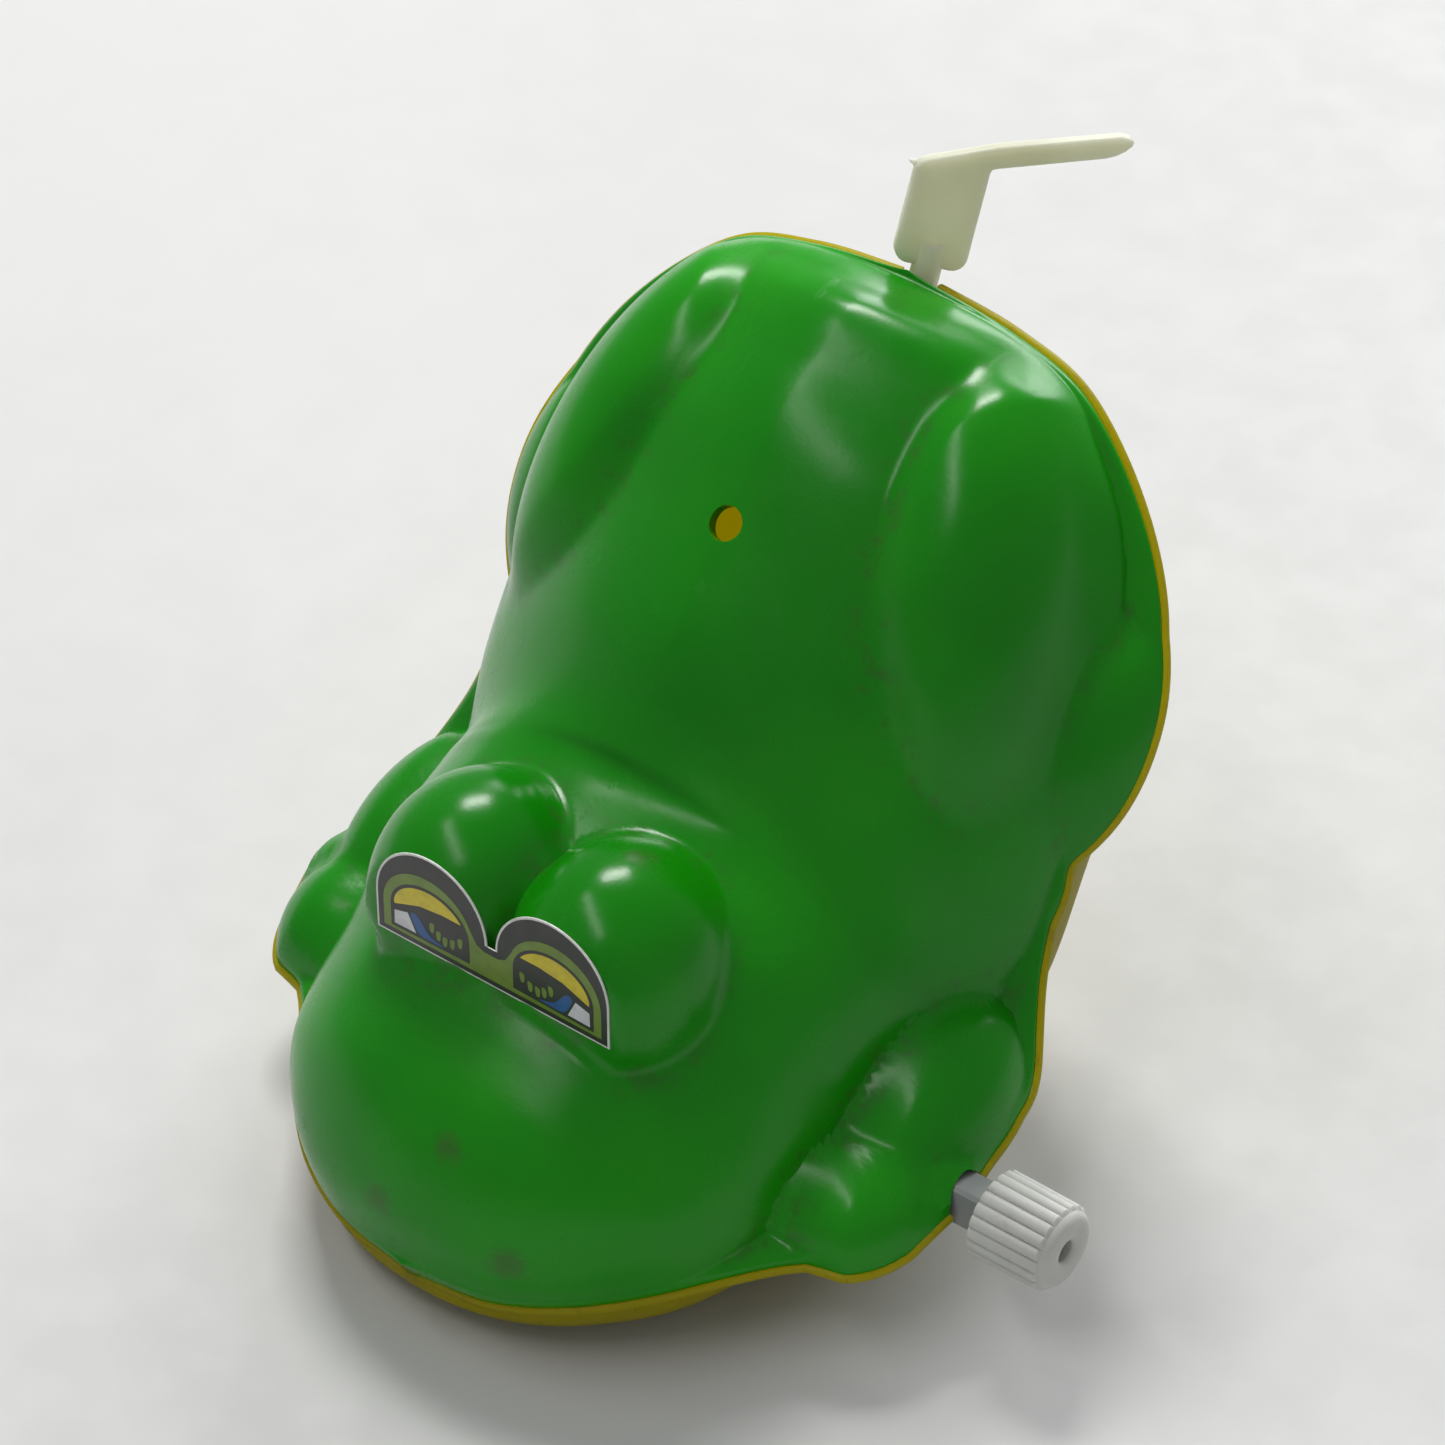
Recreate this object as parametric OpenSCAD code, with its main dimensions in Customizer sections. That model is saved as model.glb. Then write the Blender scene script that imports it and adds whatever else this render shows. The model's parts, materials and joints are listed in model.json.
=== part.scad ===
// Wind-up frog: moulded green back shell on a yellow belly shell, with a clockwork motor between.
// X points to the frog's left, -Y to its nose, +Z up. The belly's flat rests on z = 0.

/* [Shells] */
// Wall thickness of both shells, measured outward from the rim line
wall = 1.4; // [1:0.1:1.8]
// How far the belly shell's flange shows beyond the back shell
flange_out = 0.45; // [0.35:0.05:1]
// Thickness of the belly shell's flange
flange_t = 0.9; // [0.8:0.1:1.4]
// Diameter of the hole in the back
back_hole_d = 3.3; // [2:0.1:5]
// Rings of facets from chin to tail
rings = 48; // [24:2:60]
// Facets across each ring
facets = 34; // [16:2:40]

/* [Sticker] */
// Half width of the eye sticker
sticker_half_w = 13.3; // [12:0.1:14]
// Thickness of the eye sticker
sticker_t = 0.2; // [0.1:0.05:0.4]

/* [Winding knob] */
// Diameter over the knob's ribs
knob_d = 8.6; // [7:0.1:10]
// Length of the knob
knob_len = 8.2; // [6:0.1:10]
// Ribs around the knob
knob_ribs = 20; // [12:1:28]
// Width across the square winding shaft
shaft_w = 3.8; // [3:0.1:4.2]
// Diameter of the spring arbor
arbor_d = 2.0; // [1.6:0.1:2.2]

/* [Motor] */
// Distance between the two frame plates
frame_gap = 20; // [19.5:0.1:21]
// Thickness of a frame plate
plate_t = 1.0; // [0.8:0.1:1.2]
// Gear module, millimetres of diameter per tooth
gear_m = 0.5; // [0.48:0.01:0.5]
// Radial clearance of each running fit
run_fit = 0.05; // [0.02:0.01:0.08]

/* [Tail] */
// Diameter of the tail's stem
stem_d = 2.8; // [2.2:0.1:3]
// Width of the tail's flat blade
blade_w = 6.8; // [6:0.1:7.4]
// Thickness of the tail's flat blade
blade_t = 1.6; // [1.2:0.1:2]
// Lean of the tail's axis, back from vertical
tail_lean = 22; // [20:1:24]
// Turn of the flat blade about the tail's axis
tail_turn = 42; // [0:1:90]

/* [Hidden] */
$fn = 48;

green = [0.10, 0.56, 0.10];
yellow = [0.88, 0.72, 0.05];
grey = [0.72, 0.72, 0.70];
nylon = [0.82, 0.82, 0.72];
steel = [0.62, 0.63, 0.66];
brass = [0.80, 0.62, 0.25];

// Teeth in the train, which fix its ratios
main_z = 36;
pinion_z = 12;
second_z = 30;
governor_gear_z = 28;
governor_z = 8;
crown_z = 24;
tail_z = 8;

// ---- body surface -------------------------------------------------------------------------
// The two shells meet on a rim line that runs from chin to tail, the same on both sides. Each
// station gives the body's half width, the rim's half width, then the rim, crown and keel
// points on the middle plane as y, z, and the roundness of the upper section.
stations = [
    [0.0, 0.0, -37.2, 5.6, -37.2, 5.6, -37.2, 5.6, 2.0],
    [8.0, 8.0, -36.4, 6.4, -38.3, 9.5, -36.6, 3.4, 2.0],
    [14.2, 14.2, -33.9, 7.5, -38.4, 14.5, -34.6, 1.8, 2.0],
    [19.2, 19.2, -30.1, 8.5, -36.4, 20.0, -31.0, 0.5, 2.0],
    [23.2, 23.6, -25.3, 9.3, -33.0, 25.3, -26.5, -0.4, 2.0],
    [25.5, 28.2, -19.5, 9.8, -28.4, 29.0, -20.0, -0.8, 2.0],
    [26.5, 35.2, -13.0, 10.6, -21.8, 33.2, -12.5, -0.8, 2.1],
    [27.0, 38.0, -6.5, 13.0, -14.0, 39.8, -3.0, -0.8, 2.3],
    [28.0, 37.0, 0.5, 14.2, -7.0, 43.2, 7.0, -0.8, 2.2],
    [29.0, 36.8, 4.0, 15.6, -5.2, 45.6, 12.3, -0.8, 1.9],
    [30.0, 36.2, 7.5, 17.6, -2.8, 49.0, 17.5, -0.4, 1.7],
    [31.8, 33.2, 12.5, 25.6, 1.5, 55.5, 27.0, 5.0, 1.6],
    [32.0, 32.4, 17.5, 34.8, 8.6, 62.8, 33.5, 15.5, 1.6],
    [32.0, 34.6, 23.0, 44.0, 15.0, 69.3, 38.0, 28.0, 1.6],
    [30.5, 33.6, 28.5, 53.0, 21.0, 73.2, 40.5, 41.0, 1.6],
    [26.5, 28.5, 32.4, 62.0, 26.5, 76.2, 41.0, 52.5, 1.6],
    [18.5, 20.0, 35.4, 69.8, 31.0, 75.6, 40.0, 63.5, 1.8],
    [11.0, 11.0, 36.5, 72.4, 34.6, 74.6, 38.6, 69.5, 2.0],
    [0.0, 0.0, 36.9, 73.4, 36.9, 73.4, 36.9, 73.4, 2.0]];
last_st = len(stations) - 1;

// Lobes swell out of the body on both sides: centre, radii, tilt about X, lean about Y, blend width
eye_lobe = [[8.0, -16.6, 33.0], [9.9, 11.0, 11.4], -15, 0, 1.6];
arm_lobe = [[28.2, 1.0, 14.5], [8.8, 13.6, 9.2], 25, 0, 2.0];
hand_lobe = [[28.4, -9.0, 10.5], [8.8, 9.8, 7.8], 5, 0, 1.6];
thigh_lobe = [[17.5, 24.3, 53.0], [11.0, 15.2, 23.5], -30, 12, 1.4];
foot_lobe = [[28.0, 27.0, 42.0], [9.0, 10.0, 15.0], -30, 0, 1.4];
lobes = [arm_lobe, hand_lobe, thigh_lobe, foot_lobe];
// A lobe comes in gradually over this share of its outline, so that it has no step
lobe_edge = 0.35;
// The eyes end in one upright flat, which carries the sticker
eye_flat_y = -24.6;
// Height of the low skirt that joins hands, feet and rim, and its extra height over the winding shaft
skirt_h = 2.6;
shaft_lift = 2.4;
shaft_u = 7.25;
// Places of the toes along the rim: first, last, and the width of one toe
hand_toes = [5.25, 6.3, 0.35];
foot_toes = [11.4, 13.0, 0.533];
toe_out = 0.5;
far = 1000;

function soft_max(a, b, k) = let(h = max(k - abs(a - b), 0) / k) max(a, b) + h * h * k / 4;
function soft_min(a, b, k) = -soft_max(-a, -b, k);
function smooth(x) = let(t = max(0, min(1, x))) t * t * (3 - 2 * t);
function row(i) = i < 0 ? 2 * stations[0] - stations[-i]
                : i > last_st ? 2 * stations[last_st] - stations[2 * last_st - i] : stations[i];
// Smooth station values at any place u along the rim line
function station(u) =
    let(i = min(last_st - 1, floor(u)), t = u - i, a = row(i - 1), b = row(i), c = row(i + 1), d = row(i + 2))
    0.5 * (2 * b + (c - a) * t + (2 * a - 5 * b + 4 * c - d) * t * t + (3 * b - a - 3 * c + d) * t * t * t);
// Toes scallop the rim at the hands and the feet
function toe_row(u, t) = u > t[0] && u < t[1] ? toe_out * abs(sin(180 * (u - t[0]) / t[2])) : 0;
function toes(u) = toe_row(u, hand_toes) + toe_row(u, foot_toes);
// A vector in a lobe's own axes
function own_axes(v, tilt, lean) =
    let(y = v[1] * cos(tilt) + v[2] * sin(tilt), z = -v[1] * sin(tilt) + v[2] * cos(tilt))
    [v[0] * cos(lean) + z * sin(lean), y, -v[0] * sin(lean) + z * cos(lean)];
function shrink(v, r) = [v[0] / r[0], v[1] / r[1], v[2] / r[2]];
// Distance along a ray to the far side of a lobe, and how surely the ray passes inside it, 0 to 1
function to_lobe(o, d, lobe, side) =
    let(p = shrink(own_axes([side * o[0], o[1], o[2]] - lobe[0], lobe[2], lobe[3]), lobe[1]),
        q = shrink(own_axes([side * d[0], d[1], d[2]], lobe[2], lobe[3]), lobe[1]),
        a = q * q, b = p * q, h = 1 - (p * p - b * b / a))
    [sqrt(max(h, 0) / a) - b / a, smooth(h / lobe_edge)];
function to_flat(o, d) = let(t = abs(d[1]) > 0.000001 ? (eye_flat_y - o[1]) / d[1] : far) t > 0 ? t : far;
function to_eye(o, d, side) =
    let(e = to_lobe(o, d, eye_lobe, side), f = to_flat(o, d))
    [o[1] > eye_flat_y ? soft_min(e[0], f, 0.6) : f < e[0] ? e[0] : 0, e[1]];
function blend(t, reach, k) = t + (soft_max(t, reach[0], k) - t) * reach[1];
function swell(t, o, d, i) =
    i == len(lobes) ? t
    : let(k = lobes[i][4], left = blend(t, to_lobe(o, d, lobes[i], 1), k))
      swell(blend(left, to_lobe(o, d, lobes[i], -1), k), o, d, i + 1);
// Upper surface: distance from the rim line's middle point, in the direction for angle a
function up_dir(s, a) =
    let(e = 2 / s[8], c = cos(a), n = [0, s[4] - s[2], s[5] - s[3]])
    [sign(c) * pow(abs(c), e) * max(s[0], 0.01), 0, 0] + pow(abs(sin(a)), e) * n;
function skirt(u, s, d, n) =
    let(lift = skirt_h + shaft_lift * exp(-pow((u - shaft_u) / 0.45, 2)))
    pow(pow(abs(d[0] / (s[1] + toes(u))), 3) + pow(abs(d * n / lift), 3), -1 / 3);
function up_reach(u, s, o, a) =
    let(p = up_dir(s, a), t0 = norm(p), d = p / t0, nn = [0, s[4] - s[2], s[5] - s[3]], n = nn / norm(nn),
        t1 = blend(blend(t0, to_eye(o, d, 1), eye_lobe[4]), to_eye(o, d, -1), eye_lobe[4]),
        t2 = swell(t1, o, d, 0))
    [d, soft_max(t2, skirt(u, s, d, n), 1)];
function up_point(u, a, inset) =
    let(s = station(u), o = [0, s[2], s[3]], r = up_reach(u, s, o, a))
    o + r[0] * max(r[1] - inset, 0.3);

// Rings stand closer together towards both ends
u_of = [for (i = [0 : rings]) last_st * (0.5 * i / rings + 0.25 - 0.25 * cos(180 * i / rings))];
ang = [for (j = [0 : facets]) 180 * j / facets];
function mid(u) = let(s = station(u)) [0, s[2], s[3]];

// ---- grids closed by a point at each end ---------------------------------------------------
// A grid is one end point, rings - 1 rows of points, and the other end point.
function flat_list(rows) = [for (r = rows) for (p = r) p];
function at(base, cols, i, j) = i == 0 ? base : i == rings ? base + 1 + (rings - 1) * cols
                              : base + 1 + (i - 1) * cols + j;
function skin(base, cols, flip) = [for (i = [0 : rings - 1]) for (j = [0 : cols - 2])
    let(a = at(base, cols, i, j), b = at(base, cols, i + 1, j),
        c = at(base, cols, i + 1, j + 1), d = at(base, cols, i, j + 1))
    each i == 0 ? [flip ? [a, c, b] : [a, b, c]]
       : i == rings - 1 ? [flip ? [a, d, b] : [a, b, d]]
       : flip ? [[a, d, c], [a, c, b]] : [[a, b, c], [a, c, d]]];
// Band along one side between the edges of two grids
function band(b1, c1, j1, b2, c2, j2, flip) = [for (i = [0 : rings - 1])
    let(a = at(b1, c1, i, j1), b = at(b1, c1, i + 1, j1), c = at(b2, c2, i + 1, j2), d = at(b2, c2, i, j2))
    each flip ? [[a, b, c], [a, c, d]] : [[a, c, b], [a, d, c]]];

module upper_shell() {
    cols = facets + 1;
    outer = concat([mid(0)], flat_list([for (i = [1 : rings - 1]) up_row(u_of[i], 0)]),
                   [mid(last_st)]);
    inner = concat([mid(u_of[1])], flat_list([for (i = [1 : rings - 1]) up_row(u_of[i], wall)]),
                   [mid(u_of[rings - 1])]);
    base2 = len(outer);
    color(green)
        difference() {
            as_one_mesh()
                difference() {
                    polyhedron(concat(outer, inner),
                               concat(skin(0, cols, true), skin(base2, cols, false),
                                      band(0, cols, 0, base2, cols, 0, true),
                                      band(0, cols, cols - 1, base2, cols, cols - 1, false)));
                    shaft_hole();
                    tail_slot(stem_d + stem_room);
                    sticker_room();
                }
            back_hole();
        }
}
// Freeform walls are cut as a mesh, before any true bore or flat is made in them
module as_one_mesh() {
    resize([0, 0, 0])
        children();
}

// Lower surface, from the flange's edge down round the belly
function rim_half(u) = let(s = station(u), r = up_reach(u, s, [0, s[2], s[3]], 0)) r[1];
// Direction along the rim's middle line, the turn of that across the flange, and the rim's slope
function rim_run(u) = mid(min(u + 0.03, last_st)) - mid(max(u - 0.03, 0));
function rim_along(u) = rim_run(u) / norm(rim_run(u));
function rim_up(u) = let(t = rim_along(u)) [0, -t[2], t[1]];
function rim_slope(u) =
    (rim_half(min(u + 0.03, last_st)) - rim_half(max(u - 0.03, 0))) / norm(rim_run(u));
function flange_edge(u, side) =
    let(k = rim_slope(u), l = sqrt(1 + k * k))
    mid(u) - rim_along(u) * flange_out * k / l + [side * (rim_half(u) + flange_out / l), 0, 0];
function belly_point(u, a, inset) =
    let(s = station(u), o = mid(u), c = cos(a), f = sin(a), k = [0, s[6] - s[2], s[7] - s[3]], kl = norm(k),
        w = s[0] - inset, drop = inset > 0 ? 0 : flange_t * (1 - f))
    o + [w * c, 0, 0] - rim_up(u) * drop + k * (max(kl - inset, 0.3) / kl) * f;
function up_row(u, inset) = [for (a = ang) up_point(u, a, inset)];
function belly_inner_row(u) = [for (a = ang) belly_point(u, a, wall)];
function belly_row(u) = concat(
    [flange_edge(u, 1), flange_edge(u, 1) - rim_up(u) * flange_t],
    [for (a = ang) belly_point(u, a, 0)],
    [flange_edge(u, -1) - rim_up(u) * flange_t, flange_edge(u, -1)]);
// The chin's and the tail's ends of the flange, from the last ring outward
function flange_tip(from, to) = to + (to - from) / norm(to - from) * flange_out;

module lower_shell() {
    cols = facets + 5;
    icols = facets + 1;
    outer = concat([flange_tip(mid(u_of[1]), mid(0))],
                   flat_list([for (i = [1 : rings - 1]) belly_row(u_of[i])]),
                   [flange_tip(mid(u_of[rings - 1]), mid(last_st))]);
    inner = concat([mid(u_of[1])], flat_list([for (i = [1 : rings - 1]) belly_inner_row(u_of[i])]),
                   [mid(u_of[rings - 1])]);
    base2 = len(outer);
    color(yellow)
        difference() {
            as_one_mesh()
                difference() {
                    polyhedron(concat(outer, inner),
                               concat(skin(0, cols, false), skin(base2, icols, true),
                                      band(0, cols, 0, base2, icols, 0, false),
                                      band(0, cols, cols - 1, base2, icols, icols - 1, true)));
                    shaft_hole();
                    tail_slot(bush_d);
                }
            translate([-60, -60, -20])
                cube([120, 120, 20]);
        }
}

// Room in front of the eyes' flat, for the sticker
module sticker_room() {
    translate([-15, eye_flat_y - 10, sticker_z0 - 0.2])
        cube([30, 10, 14]);
}
back_hole_at = [0, 8.6, 62.8];
back_hole_tilt = 49;
module back_hole() {
    translate(back_hole_at)
        rotate([back_hole_tilt, 0, 0])
            cylinder(d = back_hole_d, h = 12, center = true);
}
shaft_hole_d = 5.2;
module shaft_hole() {
    on_axis(arbor_a, 20)
        cylinder(d = shaft_hole_d, h = 30);
}
// Slot through the rim behind the rump, where the tail's stem comes out
module tail_slot(w) {
    on_tail(-12)
        cylinder(d = w, h = 30);
}

// ---- frames of reference -------------------------------------------------------------------
knob_y = -4.7;
knob_z = 12.7;
arbor_a = [knob_y, knob_z];
tail_foot = [37.6, 73.0];
tail_dir = [sin(tail_lean), cos(tail_lean)];
// Distance down the tail's axis from the rim to the output arbor
tail_drop = 58;
arbor_c = tail_foot - tail_drop * tail_dir;
reach_ab = gear_m * (main_z + pinion_z) / 2;
reach_bc = gear_m * (second_z + pinion_z) / 2;
reach_ac = norm(arbor_c - arbor_a);
dir_ac = (arbor_c - arbor_a) / reach_ac;
along_b = (reach_ab * reach_ab - reach_bc * reach_bc + reach_ac * reach_ac) / (2 * reach_ac);
lift_b = sqrt(reach_ab * reach_ab - along_b * along_b);
arbor_b = arbor_a + along_b * dir_ac + lift_b * [-dir_ac[1], dir_ac[0]];
reach_cd = gear_m * (governor_gear_z + governor_z) / 2;
angle_cd = 12;
arbor_d4 = arbor_c + reach_cd * [cos(angle_cd), sin(angle_cd)];
function heading(p, q) = atan2(q[1] - p[1], q[0] - p[0]);

// Puts a part on an axis along X: its own z becomes x, and its own x becomes y
module on_axis(p, x) {
    translate([x, p[0], p[1]])
        rotate([90, 0, 90])
            children();
}
// Puts a part on the tail's axis, dist above the rim
module on_tail(dist) {
    translate([0, tail_foot[0] + dist * tail_dir[0], tail_foot[1] + dist * tail_dir[1]])
        rotate([-tail_lean, 0, 0])
            children();
}

// ---- gears ---------------------------------------------------------------------------------
press = 20;
function inv(a) = tan(a) * 180 / PI - a;
function flank(z, m, r) = let(rb = m * z / 2 * cos(press), a = r > rb ? acos(rb / r) : 0)
    90 / z * 0.86 + inv(press) - inv(a);
function gear_outline(z, m) = let(rp = m * z / 2, ra = rp + 0.85 * m, rr = rp - 1.15 * m)
    [for (i = [0 : z - 1]) let(c = 360 * i / z) each [
        rr * [cos(c - flank(z, m, rr + 0.01)), sin(c - flank(z, m, rr + 0.01))],
        rp * [cos(c - flank(z, m, rp)), sin(c - flank(z, m, rp))],
        ra * [cos(c - flank(z, m, ra)), sin(c - flank(z, m, ra))],
        ra * [cos(c + flank(z, m, ra)), sin(c + flank(z, m, ra))],
        rp * [cos(c + flank(z, m, rp)), sin(c + flank(z, m, rp))],
        rr * [cos(c + flank(z, m, rr + 0.01)), sin(c + flank(z, m, rr + 0.01))]]];
module gear(z, m, t, bore, turn) {
    rotate([0, 0, turn])
        linear_extrude(height = t)
            difference() {
                polygon(gear_outline(z, m));
                circle(d = bore);
            }
}
function mate_turn(p, q, z) = heading(p, q) + 180 + 180 / z;

// Lengthwise places of the train, measured along X from the middle plane
main_x = -1.5;
pinion_b_x = -1.8;
second_x = -7.0;
pinion_c_x = -7.3;
governor_x = -9.4;
wheel_x = 3.6;
half_gap = frame_gap / 2;

module main_gear() {
    color(brass)
        on_axis(arbor_a, main_x)
            gear(main_z, gear_m, 1, arbor_d, heading(arbor_a, arbor_b));
}
module second_pinion() {
    color(brass)
        on_axis(arbor_b, pinion_b_x)
            gear(pinion_z, gear_m, 1.6, 1.2, mate_turn(arbor_a, arbor_b, pinion_z));
}
module second_gear() {
    color(brass)
        on_axis(arbor_b, second_x)
            gear(second_z, gear_m, 1, 1.2, heading(arbor_b, arbor_c));
}
module output_pinion() {
    color(brass)
        on_axis(arbor_c, pinion_c_x)
            gear(pinion_z, gear_m, 1.6, 1.2, mate_turn(arbor_b, arbor_c, pinion_z));
}
module governor_gear() {
    color(brass)
        on_axis(arbor_c, governor_x)
            gear(governor_gear_z, gear_m, 1, 1.2, heading(arbor_c, arbor_d4));
}
module governor_pinion() {
    color(brass)
        on_axis(arbor_d4, governor_x - 0.3)
            gear(governor_z, gear_m, 1.5, 1.0, mate_turn(arbor_c, arbor_d4, governor_z));
}
module governor_wheel() {
    color(brass)
        on_axis(arbor_d4, wheel_x)
            difference() {
                cylinder(d = 9, h = 3);
                translate([0, 0, -1])
                    cylinder(d = 1, h = 5);
                translate([0, 0, 1.2])
                    difference() {
                        cylinder(d = 7, h = 3);
                        cylinder(d = 3, h = 3);
                    }
            }
}

// Crown wheel: teeth stand off its face and run past the tail pinion's side
crown_r = 6.6;
crown_m = 2 * crown_r / crown_z;
tail_pitch_r = crown_m * tail_z / 2;
crown_tip = 0.75 * crown_m;
crown_root = 1.2 * crown_m;
module crown_wheel() {
    color(brass)
        on_axis(arbor_c, -tail_pitch_r - crown_root - 1)
            difference() {
                union() {
                    cylinder(r = crown_r + 0.8, h = 1);
                    cylinder(r = 1.6, h = 2);
                    for (i = [0 : crown_z - 1])
                        rotate([0, 0, heading(arbor_c, tail_foot) + 360 * i / crown_z])
                            translate([crown_r - 0.8, 0, 0.5])
                                rotate([90, 0, 90])
                                    linear_extrude(height = 1.6)
                                        polygon([[-0.42, 0], [0.42, 0], [0.16, 0.5 + crown_root + crown_tip],
                                                 [-0.16, 0.5 + crown_root + crown_tip]]);
                }
                translate([0, 0, -1])
                    cylinder(d = 1.2, h = 5);
            }
}
module tail_pinion() {
    color(brass)
        on_tail(crown_r - 1.1 - tail_drop)
            gear(tail_z, crown_m, 2.2, 1.6, 180 + 180 / tail_z);
}

// ---- arbors --------------------------------------------------------------------------------
module arbor(p, d, x0, x1) {
    color(steel)
        on_axis(p, x0)
            cylinder(d = d, h = x1 - x0);
}
module spring_arbor() {
    arbor(arbor_a, arbor_d, -half_gap - plate_t - 0.6, 44);
}
module second_arbor() {
    arbor(arbor_b, 1.2, -half_gap - plate_t - 0.4, half_gap + plate_t + 0.4);
}
module output_arbor() {
    arbor(arbor_c, 1.2, -half_gap - plate_t - 0.4, half_gap + plate_t + 0.4);
}
module governor_arbor() {
    arbor(arbor_d4, 1.0, -half_gap - plate_t - 0.4, half_gap + plate_t + 0.4);
}

// ---- spring, ratchet and click --------------------------------------------------------------
spring_turns = 7;
spring_r0 = 1.5;
spring_r1 = 8.4;
spring_t = 0.3;
spring_steps = 24;
function spiral(k) = let(n = spring_turns * spring_steps)
    [for (i = [0 : n]) (spring_r0 + (spring_r1 - spring_r0) * i / n + k)
        * [cos(360 * i / spring_steps), sin(360 * i / spring_steps)]];
module mainspring() {
    back = spiral(spring_t);
    color(steel)
        on_axis(arbor_a, 2.6)
            linear_extrude(height = 5.5)
                polygon(concat(spiral(0), [for (i = [len(back) - 1 : -1 : 0]) back[i]]));
}
module ratchet_wheel() {
    teeth = 12;
    color(steel)
        on_axis(arbor_a, -0.4)
            linear_extrude(height = 1)
                difference() {
                    polygon([for (i = [0 : teeth - 1]) let(a = 360 * i / teeth)
                             each [3.4 * [cos(a), sin(a)], 2.7 * [cos(a + 4), sin(a + 4)]]]);
                    circle(d = arbor_d);
                }
}
module click_pawl() {
    color(steel)
        on_axis(arbor_a, -0.5)
            union() {
                translate([5.6, 0, 0])
                    cylinder(d = 1.6, h = 1.2);
                linear_extrude(height = 0.8)
                    polygon([[5.2, -0.7], [6.2, -0.4], [4.6, 2.6], [3.3, 2.6], [3.6, 2.0], [4.4, 1.8]]);
            }
}

// ---- frame ----------------------------------------------------------------------------------
pillar_at = [[-14, 7.5], [-14, 19.5], [20, 9.5], [25, 28.5]];
plate_z = 3.9;
module plate_outline() {
    polygon([[-17, 5.5], [-15, plate_z], [13, plate_z], [22, 8], [27, 16], [28.5, 24], [28, 31], [22, 32],
             [6, 28], [-13, 23], [-17, 20.5]]);
}
module frame_plate(x) {
    color(grey)
        on_axis([0, 0], x)
            linear_extrude(height = plate_t)
                difference() {
                    plate_outline();
                    translate(arbor_a)
                        circle(d = arbor_d + 2 * run_fit);
                    translate(arbor_b)
                        circle(d = 1.2 + 2 * run_fit);
                    translate(arbor_c)
                        circle(d = 1.2 + 2 * run_fit);
                    translate(arbor_d4)
                        circle(d = 1.0 + 2 * run_fit);
                    for (p = pillar_at)
                        translate(p)
                            circle(d = 1.6);
                }
}
module frame_plate_left() {
    frame_plate(half_gap);
}
module frame_plate_right() {
    frame_plate(-half_gap - plate_t);
}
module frame_pillars() {
    color(steel)
        for (p = pillar_at) {
            on_axis(p, -half_gap)
                cylinder(d = 2.6, h = frame_gap);
            on_axis(p, -half_gap - plate_t - 1.2)
                cylinder(d = 1.6, h = frame_gap + 2 * plate_t + 2.4);
        }
}
module frame_nuts() {
    color(steel)
        for (p = pillar_at)
            for (x = [half_gap + plate_t, -half_gap - plate_t - 1])
                on_axis(p, x)
                    difference() {
                        cylinder(d = 3.2, h = 1, $fn = 6);
                        translate([0, 0, -1])
                            cylinder(d = 1.6, h = 3);
                    }
}
// Bosses in the belly, and the cradle bars on them that the frame stands on
screw_at = [[-7.5, -12], [7.5, -12], [-7.5, 9], [7.5, 9]];
bar_z = 2.4;
screw_d = 1.6;
module belly_bosses() {
    color(yellow)
        for (p = screw_at)
            translate([p[0], p[1], 1.3])
                difference() {
                    cylinder(d = 4, h = bar_z - 1.3);
                    translate([0, 0, 0.3])
                        cylinder(d = screw_d, h = 3);
                }
}
module motor_cradle() {
    color(grey)
        difference() {
            for (y = [-12, 9])
                translate([-half_gap - plate_t - 0.3, y - 1.9, bar_z])
                    cube([frame_gap + 2 * plate_t + 0.6, 3.8, plate_z - bar_z]);
            for (p = screw_at)
                translate([p[0], p[1], 0])
                    cylinder(d = screw_d, h = 10);
        }
}
module cradle_screws() {
    color(steel)
        for (p = screw_at) {
            translate([p[0], p[1], 1.6])
                cylinder(d = screw_d, h = plate_z - 1.6);
            translate([p[0], p[1], plate_z])
                difference() {
                    cylinder(d = 3, h = 0.9);
                    translate([-2, -0.25, 0.45])
                        cube([4, 0.5, 1]);
                }
        }
}

// ---- tail -----------------------------------------------------------------------------------
shaft_len = 51.6;
module tail_shaft() {
    color(steel)
        on_tail(crown_r - 2.4 - tail_drop)
            cylinder(d = 1.6, h = shaft_len);
}
// Bracket across the frame that carries the lower end of the tail's shaft
module tail_bracket() {
    color(grey)
        on_tail(crown_r + 2.6 - tail_drop)
            difference() {
                translate([-half_gap, -2, 0])
                    cube([frame_gap, 4, 1.2]);
                translate([0, 0, -1])
                    cylinder(d = 1.6 + 2 * run_fit, h = 4);
            }
}
// Bush across the rump, its wings held between the shells, that carries the shaft's upper end
bush_wing = 23;
bush_d = 4.4;
stem_room = 0.8;
module tail_bush() {
    color(nylon)
        on_tail(-14)
            difference() {
                union() {
                    cylinder(d = bush_d, h = 4);
                    translate([-bush_wing, -1.2, 0])
                        cube([2 * bush_wing, 2.4, 1.6]);
                }
                translate([0, 0, -1])
                    cylinder(d = 1.6 + 2 * run_fit, h = 6);
            }
}
// The blade's lower and upper ends along the stem, then its bent arm's length, rise and depth
blade_z0 = 1.4;
blade_z1 = 13.6;
arm_len = 12.6;
arm_rise = 16;
arm_h = 2.1;
corner_r = 1.4;
// Round stretch of an outline: centre, radius, first and last angle
function bend(p, r, a0, a1) = [for (k = [0 : 4]) let(a = a0 + (a1 - a0) * k / 4) p + r * [cos(a), sin(a)]];
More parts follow.
